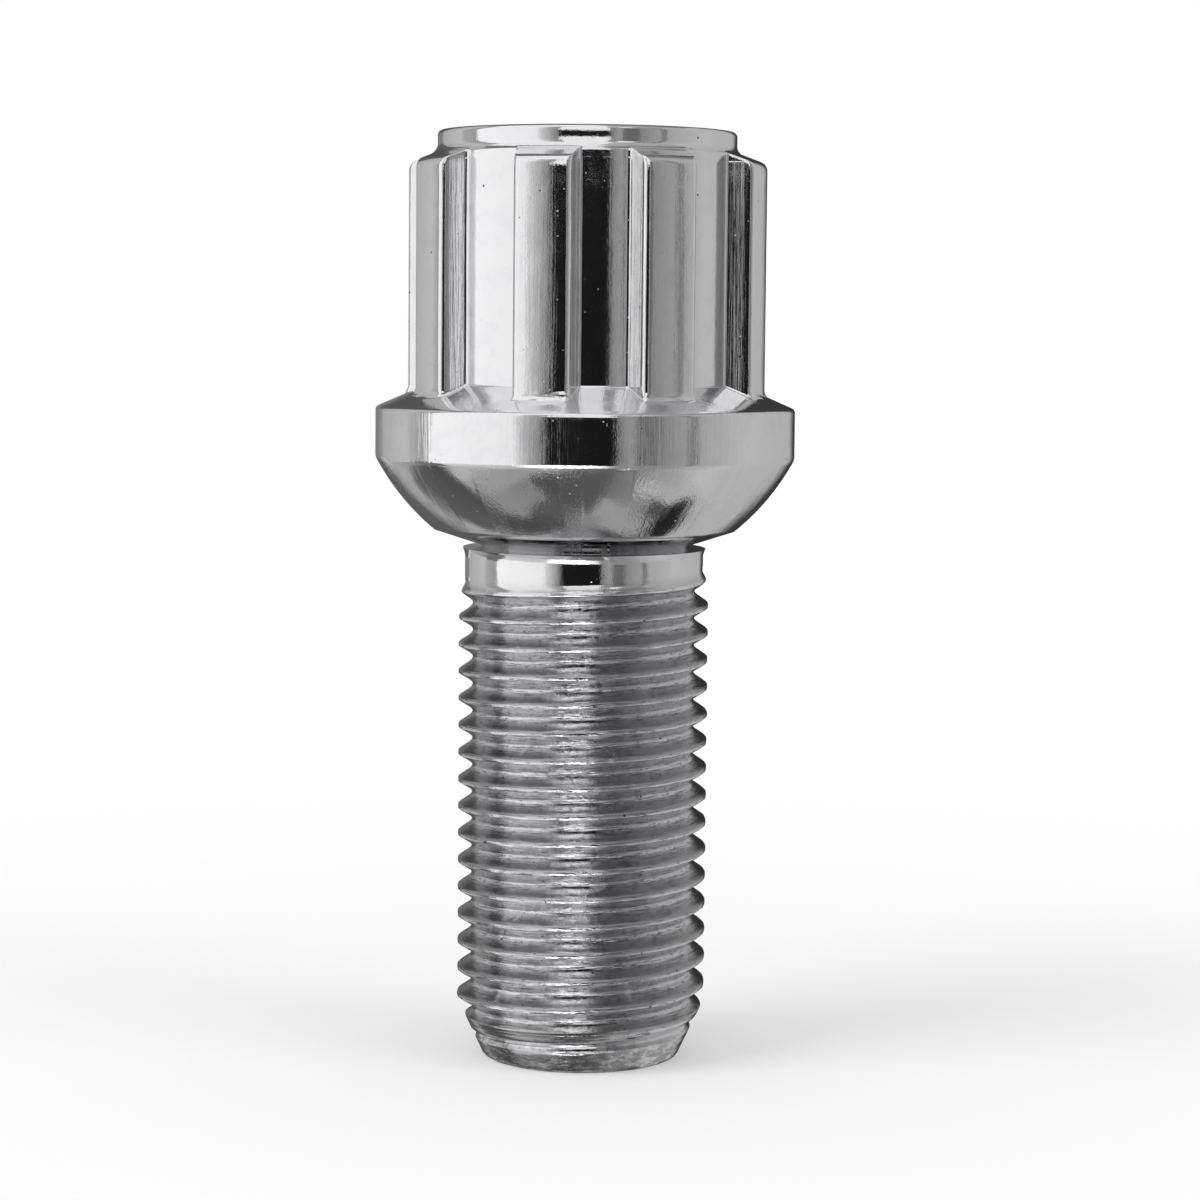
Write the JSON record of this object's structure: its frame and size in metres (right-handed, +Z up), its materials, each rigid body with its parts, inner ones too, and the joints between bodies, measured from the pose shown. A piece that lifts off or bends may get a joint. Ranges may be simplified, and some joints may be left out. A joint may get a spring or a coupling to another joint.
{
  "type": "wheel bolt",
  "caption": "One-piece wheel bolt with a keyed splined head, a flange with a ball seat, a short smooth neck and a threaded shank with a conical point.",
  "frame": {"origin": "centre of the flat end face of the thread, where the bolt stands", "axes": "+Z up the bolt's axis to the head; the narrow key groove of the splined head faces -Y"},
  "size_m": [0.023, 0.023, 0.0509],
  "materials": {
    "chrome_plating": "bright plated"
  },
  "bodies": {
    "root": {"wheel_bolt": "chrome_plating"}
  },
  "joints": []
}
